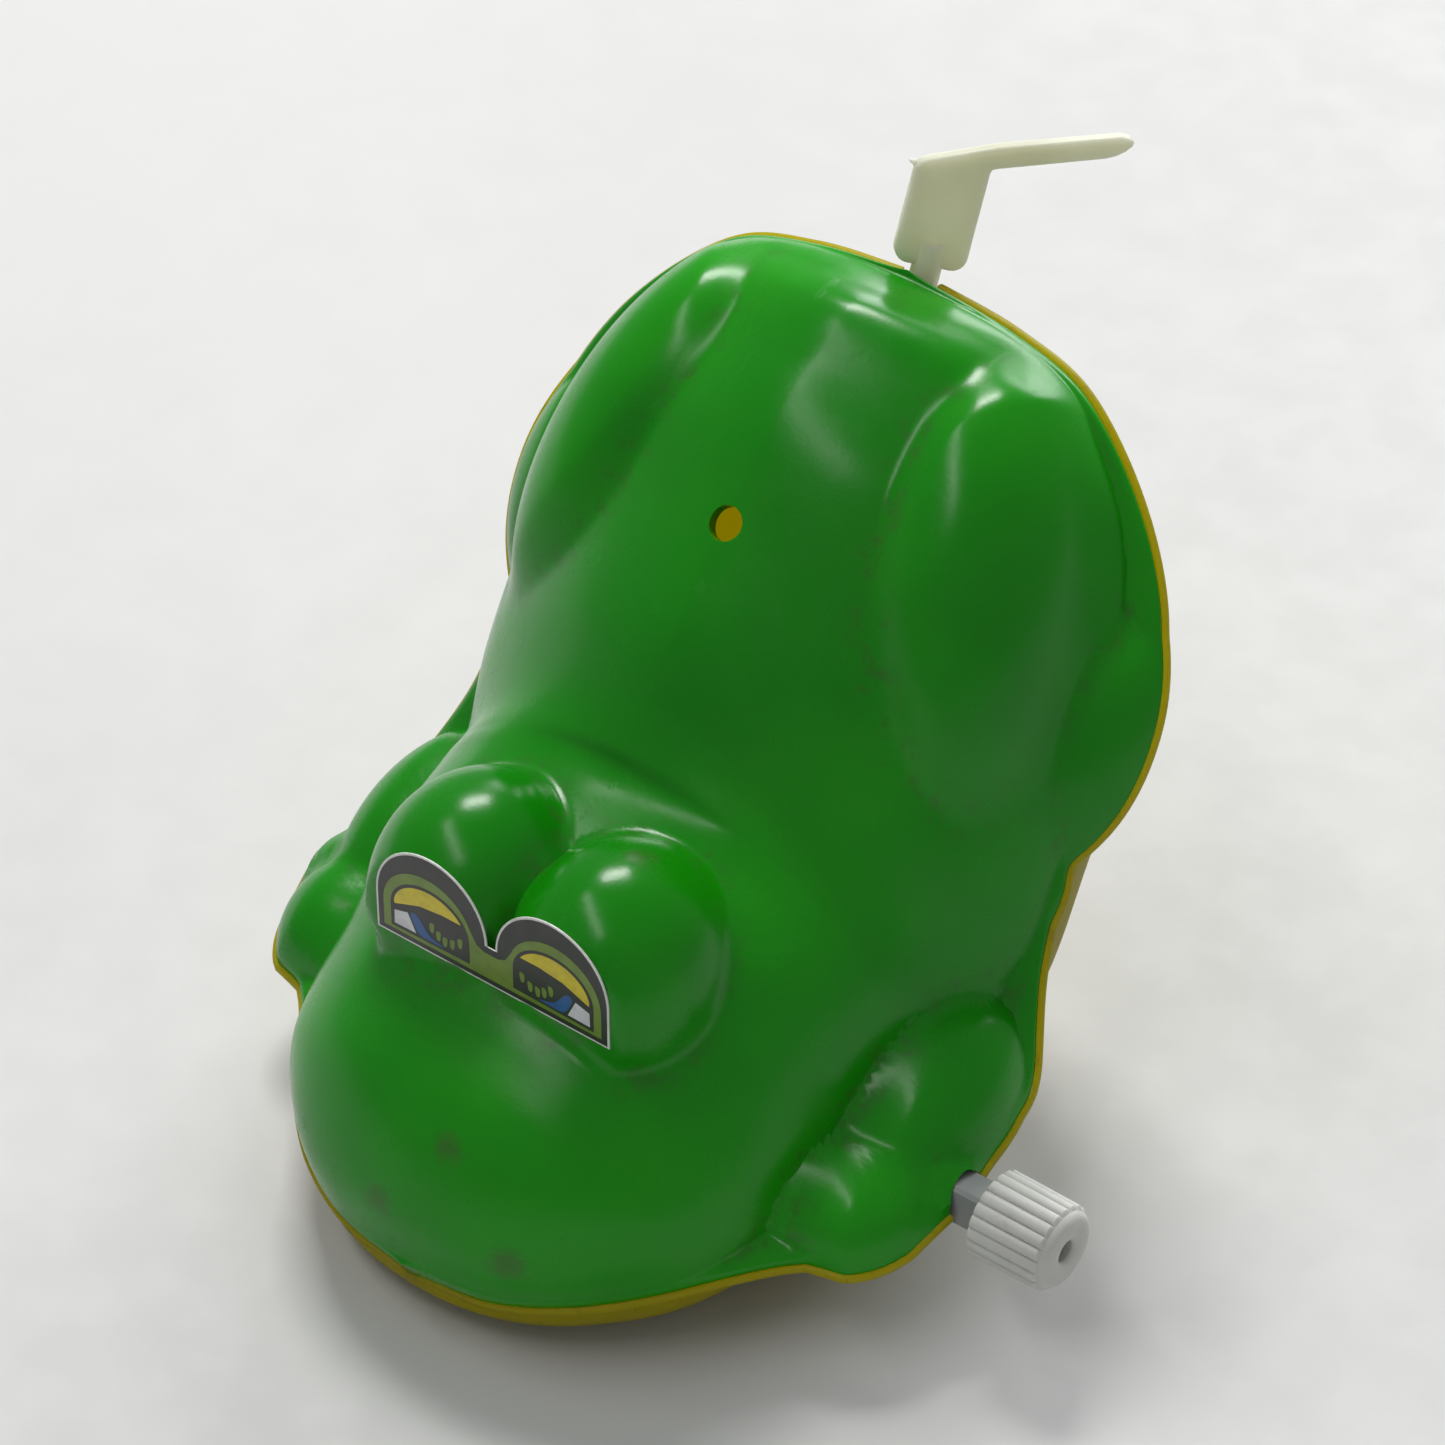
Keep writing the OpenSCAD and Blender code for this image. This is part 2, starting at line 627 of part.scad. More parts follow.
// Blade with its bent arm, seen flat
function tail_outline() =
    let(h = blade_w / 2, tip = [h, blade_z1 - 0.5] + arm_len * [cos(arm_rise), sin(arm_rise)])
    concat(bend([-h + corner_r, blade_z0 + corner_r], corner_r, 180, 270),
           bend([h - corner_r, blade_z0 + corner_r], corner_r, 270, 360),
           [[h, blade_z1 - arm_h], tip + [-2.2, -arm_h], tip + [-0.7, -1.2], tip, tip + [-1.3, 0.25],
            [h, blade_z1], [-h + 1, blade_z1 - 2.3], [-h, blade_z1 - 3.3]]);
module tail_kicker() {
    color(nylon)
        on_tail(0)
            rotate([0, 0, tail_turn])
                difference() {
                    union() {
                        translate([0, 0, -9])
                            cylinder(d = stem_d, h = 10 + blade_z0);
                        translate([0, blade_t / 2, 0])
                            rotate([90, 0, 0])
                                linear_extrude(height = blade_t)
                                    polygon(tail_outline());
                    }
                    translate([0, 0, -10])
                        cylinder(d = 1.6, h = 8);
                }
}

// ---- knob -----------------------------------------------------------------------------------
knob_x0 = 40.8;
shaft_roll = -11;
module winding_shaft() {
    w = shaft_w / 2;
    c = 0.35;
    color(grey)
        on_axis(arbor_a, half_gap + plate_t + 1)
            rotate([0, 0, shaft_roll])
                linear_extrude(height = knob_x0 + 4 - half_gap - plate_t - 1)
                    difference() {
                        polygon([[-w + c, -w], [w - c, -w], [w, -w + c], [w, w - c],
                                 [w - c, w], [-w + c, w], [-w, w - c], [-w, -w + c]]);
                        circle(d = arbor_d);
                    }
}
module winding_knob() {
    r = knob_d / 2;
    color(grey)
        on_axis(arbor_a, knob_x0)
            difference() {
                union() {
                    cylinder(r = r - 0.35, h = knob_len - 0.6);
                    translate([0, 0, knob_len - 0.6])
                        cylinder(r1 = r - 0.35, r2 = r - 0.95, h = 0.6);
                    for (i = [0 : knob_ribs - 1])
                        rotate([0, 0, 360 * i / knob_ribs])
                            translate([r - 0.36, 0, 0])
                                cylinder(d = 0.72, h = knob_len - 0.7, $fn = 16);
                }
                translate([0, 0, -1])
                    rotate([0, 0, shaft_roll])
                        translate([-shaft_w / 2, -shaft_w / 2, 0])
                            cube([shaft_w, shaft_w, 5]);
                translate([0, 0, knob_len - 3])
                    cylinder(d = 2.2, h = 4);
            }
}

// ---- sticker --------------------------------------------------------------------------------
// Lower edge of the sticker, and its arches' centres from the middle and from that edge
sticker_z0 = 31.4;
arch_x = 6.9;
arch_z = 4.4;
module eye_sticker() {
    color("white")
        translate([0, eye_flat_y, 0])
            rotate([90, 0, 0])
                linear_extrude(height = sticker_t)
                    intersection() {
                        union() {
                            for (side = [-1, 1])
                                translate([side * arch_x, sticker_z0 + arch_z])
                                    scale([1, 1.04])
                                        circle(r = sticker_half_w - arch_x);
                            translate([-sticker_half_w, sticker_z0])
                                square([2 * sticker_half_w, arch_z]);
                        }
                        translate([-20, sticker_z0])
                            square([40, 20]);
                    }
}

upper_shell();
lower_shell();
eye_sticker();
winding_knob();
winding_shaft();
spring_arbor();
mainspring();
main_gear();
ratchet_wheel();
click_pawl();
frame_plate_left();
frame_plate_right();
frame_pillars();
frame_nuts();
second_arbor();
second_gear();
second_pinion();
output_arbor();
output_pinion();
crown_wheel();
governor_gear();
governor_arbor();
governor_pinion();
governor_wheel();
tail_shaft();
tail_pinion();
tail_bracket();
tail_bush();
tail_kicker();
belly_bosses();
motor_cradle();
cradle_screws();
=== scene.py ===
import json
import math

import bmesh
import bpy
import numpy as np
from mathutils import Matrix, Vector
from mathutils.kdtree import KDTree


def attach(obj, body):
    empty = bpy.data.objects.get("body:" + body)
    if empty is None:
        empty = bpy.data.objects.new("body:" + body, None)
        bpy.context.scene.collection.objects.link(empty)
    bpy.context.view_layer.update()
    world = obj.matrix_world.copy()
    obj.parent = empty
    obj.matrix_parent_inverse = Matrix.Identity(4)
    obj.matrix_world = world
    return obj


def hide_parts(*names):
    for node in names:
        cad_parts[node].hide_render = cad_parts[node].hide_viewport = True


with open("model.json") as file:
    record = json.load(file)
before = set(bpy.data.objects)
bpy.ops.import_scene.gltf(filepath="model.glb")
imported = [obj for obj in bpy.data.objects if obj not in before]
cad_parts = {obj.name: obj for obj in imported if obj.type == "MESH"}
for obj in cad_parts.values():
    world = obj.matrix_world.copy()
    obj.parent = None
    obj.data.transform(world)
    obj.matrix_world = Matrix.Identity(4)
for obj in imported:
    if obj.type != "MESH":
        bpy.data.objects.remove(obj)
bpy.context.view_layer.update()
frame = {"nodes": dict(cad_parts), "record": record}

MM = 0.001

# ---- body surface, the same design as the CAD shells, in millimetres ----------------------------
# Each station: body half width, rim half width, rim y z, crown y z, keel y z, roundness
STATIONS = np.array([
    [0.0, 0.0, -37.2, 5.6, -37.2, 5.6, -37.2, 5.6, 2.0],
    [8.0, 8.0, -36.4, 6.4, -38.3, 9.5, -36.6, 3.4, 2.0],
    [14.2, 14.2, -33.9, 7.5, -38.4, 14.5, -34.6, 1.8, 2.0],
    [19.2, 19.2, -30.1, 8.5, -36.4, 20.0, -31.0, 0.5, 2.0],
    [23.2, 23.6, -25.3, 9.3, -33.0, 25.3, -26.5, -0.4, 2.0],
    [25.5, 28.2, -19.5, 9.8, -28.4, 29.0, -20.0, -0.8, 2.0],
    [26.5, 35.2, -13.0, 10.6, -21.8, 33.2, -12.5, -0.8, 2.1],
    [27.0, 38.0, -6.5, 13.0, -14.0, 39.8, -3.0, -0.8, 2.3],
    [28.0, 37.0, 0.5, 14.2, -7.0, 43.2, 7.0, -0.8, 2.2],
    [29.0, 36.8, 4.0, 15.6, -5.2, 45.6, 12.3, -0.8, 1.9],
    [30.0, 36.2, 7.5, 17.6, -2.8, 49.0, 17.5, -0.4, 1.7],
    [31.8, 33.2, 12.5, 25.6, 1.5, 55.5, 27.0, 5.0, 1.6],
    [32.0, 32.4, 17.5, 34.8, 8.6, 62.8, 33.5, 15.5, 1.6],
    [32.0, 34.6, 23.0, 44.0, 15.0, 69.3, 38.0, 28.0, 1.6],
    [30.5, 33.6, 28.5, 53.0, 21.0, 73.2, 40.5, 41.0, 1.6],
    [26.5, 28.5, 32.4, 62.0, 26.5, 76.2, 41.0, 52.5, 1.6],
    [18.5, 20.0, 35.4, 69.8, 31.0, 75.6, 40.0, 63.5, 1.8],
    [11.0, 11.0, 36.5, 72.4, 34.6, 74.6, 38.6, 69.5, 2.0],
    [0.0, 0.0, 36.9, 73.4, 36.9, 73.4, 36.9, 73.4, 2.0]])
LAST = len(STATIONS) - 1
# Lobes on both sides: centre, radii, tilt about X, lean about Y, blend width
EYE = ((8.0, -16.6, 33.0), (9.9, 11.0, 11.4), -15, 0, 1.6)
LOBES = [((28.2, 1.0, 14.5), (8.8, 13.6, 9.2), 25, 0, 2.0),
         ((28.4, -9.0, 10.5), (8.8, 9.8, 7.8), 5, 0, 1.6),
         ((17.5, 24.3, 53.0), (11.0, 15.2, 23.5), -30, 12, 1.4),
         ((28.0, 27.0, 42.0), (9.0, 10.0, 15.0), -30, 0, 1.4)]
EYE_FLAT_Y = -24.6
LOBE_EDGE = 0.35
SKIRT_H = 2.6
# The skirt stands higher where the winding shaft passes under it
SHAFT_LIFT = 2.4
SHAFT_U = 7.25
# Places of the toes along the rim: first, last, and the width of one toe
HAND_TOES = (5.25, 6.3, 0.35)
FOOT_TOES = (11.4, 13.0, 0.533)
TOE_OUT = 0.5
WALL = 1.4
FLANGE_OUT = 0.45
FLANGE_T = 0.9
ROWS = 300
COLS = 200
KNOB_Y, KNOB_Z = -4.7, 12.7
TAIL_LEAN = 22
TAIL_TURN = 42
TAIL_FOOT = (37.6, 73.0)
# The hole in the back, and the openings for the winding shaft and the tail's stem, millimetres
BACK_HOLE_AT = (0, 8.6, 62.8)
BACK_HOLE_TILT = 49
BACK_HOLE_R = 1.65
SHAFT_HOLE_R = 2.6
UPPER_SLOT_R = 1.8
LOWER_SLOT_R = 2.2


def soft_max(a, b, k):
    h = np.maximum(k - np.abs(a - b), 0) / k
    return np.maximum(a, b) + h * h * k / 4


def soft_min(a, b, k):
    return -soft_max(-a, -b, k)


def smooth(x):
    x = np.clip(x, 0, 1)
    return x * x * (3 - 2 * x)


def station(u):
    rows = np.vstack([2 * STATIONS[0] - STATIONS[1], STATIONS, 2 * STATIONS[-1] - STATIONS[-2]])
    i = np.minimum(LAST - 1, np.floor(u)).astype(int)
    t = (u - i)[:, None]
    a, b, c, d = rows[i], rows[i + 1], rows[i + 2], rows[i + 3]
    return 0.5 * (2 * b + (c - a) * t + (2 * a - 5 * b + 4 * c - d) * t ** 2
                  + (3 * b - a - 3 * c + d) * t ** 3)


def toes(u):
    """How far the toes push the rim out, at each place along it."""
    hand, foot = (np.abs(np.sin(math.pi * (u - first) / width)) * ((u > first) & (u < last))
                  for first, last, width in (HAND_TOES, FOOT_TOES))
    return TOE_OUT * (hand + foot)


def own_axes(v, tilt, lean):
    """A vector in a lobe's own axes."""
    a, b = math.radians(tilt), math.radians(lean)
    y = v[..., 1] * math.cos(a) + v[..., 2] * math.sin(a)
    z = -v[..., 1] * math.sin(a) + v[..., 2] * math.cos(a)
    return np.stack([v[..., 0] * math.cos(b) + z * math.sin(b), y,
                     -v[..., 0] * math.sin(b) + z * math.cos(b)], -1)


def to_lobe(o, d, lobe, side):
    """Distance to the far side of a lobe, and how surely the ray passes inside it."""
    flip = np.array([side, 1, 1])
    p = own_axes(o * flip - np.array(lobe[0]), lobe[2], lobe[3]) / np.array(lobe[1])
    q = own_axes(d * flip, lobe[2], lobe[3]) / np.array(lobe[1])
    a = (q * q).sum(-1)
    b = (p * q).sum(-1)
    h = 1 - ((p * p).sum(-1) - b * b / a)
    return (np.sqrt(np.maximum(h, 0) / a) - b / a), smooth(h / LOBE_EDGE)


def swell(t, lobe, o, d):
    for side in (1, -1):
        reach, sure = to_lobe(o, d, lobe, side)
        if lobe is EYE:
            ahead = np.where(np.abs(d[..., 1]) > 1e-6, (EYE_FLAT_Y - o[..., 1]) / d[..., 1], 1000)
            ahead = np.where(ahead > 0, ahead, 1000)
            behind_flat = o[..., 1] > EYE_FLAT_Y
            cut = soft_min(reach, ahead, 0.6)
            reach = np.where(behind_flat, cut, np.where(ahead < reach, reach, 0))
        t = t + (soft_max(t, reach, lobe[4]) - t) * sure
    return t


def rim_point(s):
    return np.stack([np.zeros(len(s)), s[:, 2], s[:, 3]], -1)


def upper_rows(u, angles):
    """Outer points of the back shell, and each ray's start and direction."""
    s = station(u)
    o = rim_point(s)[:, None, :]
    n = np.stack([np.zeros(len(s)), s[:, 4] - s[:, 2], s[:, 5] - s[:, 3]], -1)
    e = (2 / s[:, 8])[:, None]
    c, f = np.cos(angles)[None, :], np.sin(angles)[None, :]
    p = np.abs(f)[..., None] ** e[..., None] * n[:, None, :]
    p[..., 0] += np.sign(c) * np.abs(c) ** e * np.maximum(s[:, 0], 0.01)[:, None]
    t = np.linalg.norm(p, axis=-1)
    d = p / t[..., None]
    t = swell(t, EYE, o, d)
    for lobe in LOBES:
        t = swell(t, lobe, o, d)
    nn = n / np.linalg.norm(n, axis=-1)[:, None]
    lift = SKIRT_H + SHAFT_LIFT * np.exp(-((u - SHAFT_U) / 0.45) ** 2)
    flat = np.abs(d[..., 0] / (s[:, 1] + toes(u))[:, None]) ** 3
    rise = np.abs((d * nn[:, None, :]).sum(-1) / lift[:, None]) ** 3
    t = soft_max(t, (flat + rise) ** (-1 / 3), 1.0)
    return o, d, t


def row_places(count):
    i = np.arange(count + 1) / count
    return LAST * (0.5 * i + 0.25 - 0.25 * np.cos(math.pi * i))


U = row_places(ROWS)[1:-1]
ANGLES = np.linspace(0, math.pi, COLS + 1)


def grid_faces(rows, cols, start, flip):
    """Quads of a grid of rows x cols points that starts at index start."""
    out = []
    for i in range(rows - 1):
        for j in range(cols - 1):
            a = start + i * cols + j
            face = (a, a + cols, a + cols + 1, a + 1)
            out.append(face[::-1] if flip else face)
    return out


def closed_mesh(name, outer, inner):
    """A shell between two grids with as many rows, joined along all four edges."""
    rows, co = outer.shape[:2]
    ci = inner.shape[1]
    verts = np.vstack([outer.reshape(-1, 3), inner.reshape(-1, 3)]) * MM
    base = rows * co
    faces = grid_faces(rows, co, 0, False) + grid_faces(rows, ci, base, True)
    for j0, j1, turned in ((0, 0, False), (co - 1, ci - 1, True)):
        for i in range(rows - 1):
            f = (i * co + j0, base + i * ci + j1, base + (i + 1) * ci + j1, (i + 1) * co + j0)
            faces.append(f[::-1] if turned else f)
    for i, turned in ((0, True), (rows - 1, False)):
        ring = [i * co + j for j in range(co)] + [base + i * ci + j for j in range(ci - 1, -1, -1)]
        faces.append(tuple(ring[::-1] if turned else ring))
    mesh = bpy.data.meshes.new(name)
    mesh.from_pydata(verts.tolist(), [], faces)
    mesh.validate()
    obj = bpy.data.objects.new(name, mesh)
    bpy.context.collection.objects.link(obj)
    fix = bmesh.new()
    fix.from_mesh(mesh)
    bmesh.ops.recalc_face_normals(fix, faces=fix.faces)
    fix.to_mesh(mesh)
    fix.free()
    return obj


def back_shell():
    o, d, t = upper_rows(U, ANGLES)
    outer = o + d * t[..., None]
    inner = o + d * np.maximum(t - WALL, 0.3)[..., None]
    return closed_mesh("back_shell_skin", outer, inner)


def rim_half(u):
    o, d, t = upper_rows(u, np.array([0.0]))
    return t[:, 0]


def belly_shell():
    s = station(U)
    o = rim_point(s)
    step = 0.03
    hi, lo = np.minimum(U + step, LAST), np.maximum(U - step, 0)
    along = rim_point(station(hi)) - rim_point(station(lo))
    length = np.linalg.norm(along, axis=-1)
    along = along / length[:, None]
    slope = (rim_half(hi) - rim_half(lo)) / length
    lean = np.sqrt(1 + slope ** 2)
    up = np.stack([np.zeros(len(U)), -along[:, 2], along[:, 1]], -1)
    half = rim_half(U)
    k = np.stack([np.zeros(len(U)), s[:, 6] - s[:, 2], s[:, 7] - s[:, 3]], -1)
    kl = np.linalg.norm(k, axis=-1)

    def belly(inset):
        c, f = np.cos(ANGLES)[None, :, None], np.sin(ANGLES)[None, :, None]
        keel = k * (np.maximum(kl - inset, 0.3) / kl)[:, None]
        p = o[:, None, :] + keel[:, None, :] * f
        p[..., 0] += (s[:, 0] - inset)[:, None] * c[..., 0]
        if inset == 0:
            p = p - up[:, None, :] * FLANGE_T * (1 - f)
        return p

    def lip(sign):
        """The flange's rounded edge, from its top face round to its underside."""
        points = []
        for turn in np.linspace(0, math.pi, 7):
            inward = 0.3 * (1 - math.sin(turn))
            drop = FLANGE_T * (0.5 - 0.5 * math.cos(turn))
            out = FLANGE_OUT - inward
            p = o - up * drop - along * (out * slope / lean)[:, None]
            p[:, 0] += sign * (half + out / lean)
            points.append(p)
        return points

    right = np.stack(lip(1), 1)
    left = np.stack(lip(-1)[::-1], 1)
    outer = np.concatenate([right, belly(0), left], 1)
    outer[..., 2] = np.maximum(outer[..., 2], 0)
    inner = belly(WALL)
    return closed_mesh("belly_shell_skin", outer, inner)


# ---- small mesh helpers --------------------------------------------------------------------------
def new_object(name, verts, faces):
    mesh = bpy.data.meshes.new(name)
    mesh.from_pydata([tuple(v) for v in verts], [], faces)
    mesh.validate()
    obj = bpy.data.objects.new(name, mesh)
    bpy.context.collection.objects.link(obj)
    return obj


def tube(name, at, direction, radius, length):
    """A many-sided round bar used to cut a hole."""
    direction = Vector(direction).normalized()
    turn = direction.to_track_quat("Z", "Y").to_matrix().to_4x4()
    made = bmesh.new()
    bmesh.ops.create_cone(made, cap_ends=True, segments=64, radius1=radius * MM, radius2=radius * MM,
                          depth=length * MM, matrix=Matrix.Translation(Vector(at) * MM) @ turn)
    mesh = bpy.data.meshes.new(name)
    made.to_mesh(mesh)
    made.free()
    obj = bpy.data.objects.new(name, mesh)
    bpy.context.collection.objects.link(obj)
    return obj


def apply_modifiers(obj):
    graph = bpy.context.evaluated_depsgraph_get()
    mesh = bpy.data.meshes.new_from_object(obj.evaluated_get(graph))
    obj.modifiers.clear()
    old = obj.data
    obj.data = mesh
    bpy.data.meshes.remove(old)


def cut_with(obj, cutter):
    mod = obj.modifiers.new("cut", "BOOLEAN")
    mod.operation = "DIFFERENCE"
    mod.object = cutter
    mod.solver = "MANIFOLD"
    apply_modifiers(obj)
    bpy.data.objects.remove(cutter)


def shade(obj, degrees=35):
    for poly in obj.data.polygons:
        poly.use_smooth = True
    bpy.ops.object.select_all(action="DESELECT")
    obj.select_set(True)
    bpy.context.view_layer.objects.active = obj
    bpy.ops.object.shade_smooth_by_angle(angle=math.radians(degrees))


# ---- materials -----------------------------------------------------------------------------------
class Nodes:
    """Short names for building one material's node tree."""

    def __init__(self, name):
        self.mat = bpy.data.materials.new(name)
        self.mat.use_nodes = True
        self.tree = self.mat.node_tree
        self.bsdf = self.tree.nodes["Principled BSDF"]
        self.coords = self.add("ShaderNodeTexCoord").outputs["Object"]

    def add(self, kind, **values):
        node = self.tree.nodes.new(kind)
        for key, value in values.items():
            setattr(node, key, value)
        return node

    def link(self, source, target):
        self.tree.links.new(source, target)

    def noise(self, scale, detail=3.0, rough=0.5, stretch=None):
        node = self.add("ShaderNodeTexNoise")
        node.inputs["Scale"].default_value = scale
        node.inputs["Detail"].default_value = detail
        node.inputs["Roughness"].default_value = rough
        place = self.coords
        if stretch:
            mapping = self.add("ShaderNodeMapping")
            mapping.inputs["Scale"].default_value = stretch[:3]
            mapping.inputs["Rotation"].default_value = stretch[3:]
            self.link(place, mapping.inputs["Vector"])
            place = mapping.outputs["Vector"]
        self.link(place, node.inputs["Vector"])
        return node.outputs["Fac"]

    def ramp(self, source, low, high, a=0.0, b=1.0):
        node = self.add("ShaderNodeMapRange", interpolation_type="SMOOTHSTEP")
        node.inputs["From Min"].default_value = low
        node.inputs["From Max"].default_value = high
        node.inputs["To Min"].default_value = a
        node.inputs["To Max"].default_value = b
        self.link(source, node.inputs["Value"])
        return node.outputs["Result"]

    def mix(self, fac, a, b):
        node = self.add("ShaderNodeMix", data_type="RGBA")
        self.link(fac, node.inputs["Factor"])
        for value, socket in ((a, node.inputs["A"]), (b, node.inputs["B"])):
            if isinstance(value, tuple):
                socket.default_value = value + (1,)
            else:
                self.link(value, socket)
        return node.outputs["Result"]

    def math(self, operation, a, b):
        node = self.add("ShaderNodeMath", operation=operation)
        for value, socket in zip((a, b), node.inputs):
            if isinstance(value, (int, float)):
                socket.default_value = value
            else:
                self.link(value, socket)
        return node.outputs[0]

    def bump(self, height, distance, strength=1.0, after=None):
        node = self.add("ShaderNodeBump")
        node.inputs["Distance"].default_value = distance * MM
        node.inputs["Strength"].default_value = strength
        self.link(height, node.inputs["Height"])
        if after:
            self.link(after, node.inputs["Normal"])
        return node.outputs["Normal"]

    def attribute(self, name):
        return self.add("ShaderNodeAttribute", attribute_name=name).outputs["Fac"]

    def set(self, **sockets):
        for key, value in sockets.items():
            socket = self.bsdf.inputs[key.replace("_", " ")]
            if hasattr(value, "node"):
                self.link(value, socket)
            else:
                socket.default_value = value + (1,) if isinstance(value, tuple) and len(value) == 3 \
                    and socket.type == "RGBA" else value


def smudge(n, place, size):
    """1 at a point on the surface (millimetres), fading out over size, with ragged edges."""
    shift = n.add("ShaderNodeVectorMath", operation="DISTANCE")
    n.link(n.coords, shift.inputs[0])
    shift.inputs[1].default_value = [c * MM for c in place]
    ragged = n.math("MULTIPLY", n.noise(900, 4, 0.7), size * MM * 1.6)
    return n.ramp(n.math("ADD", shift.outputs["Value"], ragged), size * MM * 1.9, size * MM * 0.9)


def green_plastic():
    n = Nodes("green_plastic")
    cloud = n.noise(28, 3)
    base = n.mix(n.ramp(cloud, 0.3, 0.7), (0.004, 0.22, 0.001), (0.009, 0.31, 0.0015))
    # Painted shade and dirt: the green turns dark olive where the shell lies below its neighbourhood, in
    # creases and hollows, broken up by noise
    crease_shade_and_dirt = n.math("MULTIPLY", n.attribute("crease"), n.ramp(n.noise(420, 5, 0.7), 0.46, 0.66))
    base = n.mix(n.math("MULTIPLY", crease_shade_and_dirt, 0.38), base, (0.045, 0.085, 0.022))
    film = n.math("MULTIPLY", n.ramp(n.noise(55, 4, 0.6), 0.5, 0.78), 0.10)
    base = n.mix(film, base, (0.05, 0.22, 0.015))
    for place, size in SMUDGES:
        base = n.mix(n.math("MULTIPLY", smudge(n, place, size), 0.55), base, (0.06, 0.10, 0.03))
    grain = n.noise(2600, 2, 0.5)
    scuffs = n.noise(260, 5, 0.65, (1, 0.18, 1, 0.3, 0.2, 0.7))
    rough = n.math("ADD", n.ramp(n.noise(120, 4, 0.6), 0.35, 0.7, 0.2, 0.29),
                   n.math("MULTIPLY", n.ramp(scuffs, 0.62, 0.72), 0.16))
    normal = n.bump(grain, 0.02, 0.35)
    normal = n.bump(n.noise(330, 3, 0.6), 0.05, 0.25, normal)
    normal = n.bump(n.ramp(scuffs, 0.64, 0.70), 0.03, 0.3, normal)
    n.set(Base_Color=base, Roughness=rough, Normal=normal, IOR=1.5, Specular_IOR_Level=0.3,
          Subsurface_Weight=0.12, Subsurface_Radius=(0.2, 1.0, 0.2), Subsurface_Scale=0.0015)
    return n.mat


def yellow_plastic():
    n = Nodes("yellow_plastic")
    base = n.mix(n.ramp(n.noise(30, 3), 0.3, 0.7), (0.60, 0.53, 0.001), (0.68, 0.60, 0.002))
    base = n.mix(n.math("MULTIPLY", n.ramp(n.noise(300, 5, 0.7), 0.58, 0.7), 0.35), base, (0.30, 0.20, 0.03))
    rough = n.ramp(n.noise(150, 4), 0.3, 0.7, 0.28, 0.42)
    normal = n.bump(n.noise(2200, 2), 0.02, 0.3)
    normal = n.bump(n.noise(260, 3), 0.05, 0.2, normal)
    n.set(Base_Color=base, Roughness=rough, Normal=normal, IOR=1.5, Subsurface_Weight=0.3,
          Subsurface_Radius=(0.8, 0.7, 0.1), Subsurface_Scale=0.002)
    glow = n.add("ShaderNodeBsdfTranslucent")
    n.link(base, glow.inputs["Color"])
    both = n.add("ShaderNodeMixShader")
    both.inputs["Fac"].default_value = 0.6
    n.link(n.bsdf.outputs["BSDF"], both.inputs[1])
    n.link(glow.outputs["BSDF"], both.inputs[2])
    n.link(both.outputs["Shader"], n.tree.nodes["Material Output"].inputs["Surface"])
    return n.mat


def nylon():
    n = Nodes("clear_nylon")
    base = n.mix(n.ramp(n.noise(90, 3), 0.3, 0.7), (0.60, 0.60, 0.46), (0.70, 0.70, 0.56))
    rough = n.ramp(n.noise(260, 4), 0.3, 0.7, 0.34, 0.5)
    normal = n.bump(n.noise(500, 4, 0.6), 0.06, 0.3)
    n.set(Base_Color=base, Roughness=rough, Normal=normal, IOR=1.53, Subsurface_Weight=0.75,
          Subsurface_Radius=(1.0, 1.0, 0.8), Subsurface_Scale=0.004, Transmission_Weight=0.12)
    return n.mat


def knob_plastic():
    n = Nodes("knob_plastic")
    base = n.mix(n.ramp(n.noise(110, 3), 0.3, 0.7), (0.56, 0.56, 0.53), (0.63, 0.63, 0.60))
    base = n.mix(n.math("MULTIPLY", n.ramp(n.noise(420, 5, 0.7), 0.55, 0.7), 0.3), base, (0.36, 0.34, 0.30))
    rough = n.ramp(n.noise(300, 3), 0.3, 0.7, 0.36, 0.5)
    normal = n.bump(n.noise(1500, 3), 0.03, 0.3)
    n.set(Base_Color=base, Roughness=rough, Normal=normal, IOR=1.49, Subsurface_Weight=0.35,
          Subsurface_Radius=(1.0, 1.0, 0.9), Subsurface_Scale=0.002)
    return n.mat


def shaft_plastic():
    n = Nodes("shaft_plastic")
    base = n.mix(n.ramp(n.noise(140, 3), 0.3, 0.7), (0.27, 0.28, 0.28), (0.34, 0.35, 0.35))
    rough = n.ramp(n.noise(260, 3), 0.3, 0.7, 0.38, 0.5)
    normal = n.bump(n.noise(900, 3), 0.03, 0.3)
    n.set(Base_Color=base, Roughness=rough, Normal=normal, IOR=1.49)
    return n.mat


def metal(name, dark, light, rough_low, rough_high, turn=(1, 1, 14)):
    n = Nodes(name)
    streaks = n.noise(220, 4, 0.6, turn + (0, 0, 0))
    base = n.mix(n.ramp(streaks, 0.3, 0.7), dark, light)
    rough = n.ramp(n.noise(340, 4), 0.3, 0.7, rough_low, rough_high)
    normal = n.bump(streaks, 0.02, 0.3)
    n.set(Base_Color=base, Roughness=rough, Normal=normal, Metallic=1.0)
    return n.mat


def motor_plate():
    n = Nodes("motor_plate")
    base = n.mix(n.ramp(n.noise(90, 4), 0.3, 0.7), (0.50, 0.50, 0.48), (0.62, 0.62, 0.60))
    rough = n.ramp(n.noise(240, 4), 0.3, 0.7, 0.4, 0.55)
    normal = n.bump(n.noise(1400, 2), 0.03, 0.4)
    n.set(Base_Color=base, Roughness=rough, Normal=normal)
    return n.mat


def print_colour(name, colour):
    n = Nodes(name)
    other = tuple(0.82 * c for c in colour)
    base = n.mix(n.ramp(n.noise(700, 4, 0.6), 0.35, 0.7), colour, other)
    rough = n.ramp(n.noise(380, 3), 0.3, 0.7, 0.3, 0.42)
    normal = n.bump(n.noise(1200, 3), 0.02, 0.3)
    n.set(Base_Color=base, Roughness=rough, Normal=normal, IOR=1.48, Coat_Weight=0.3, Coat_Roughness=0.2)
    return n.mat


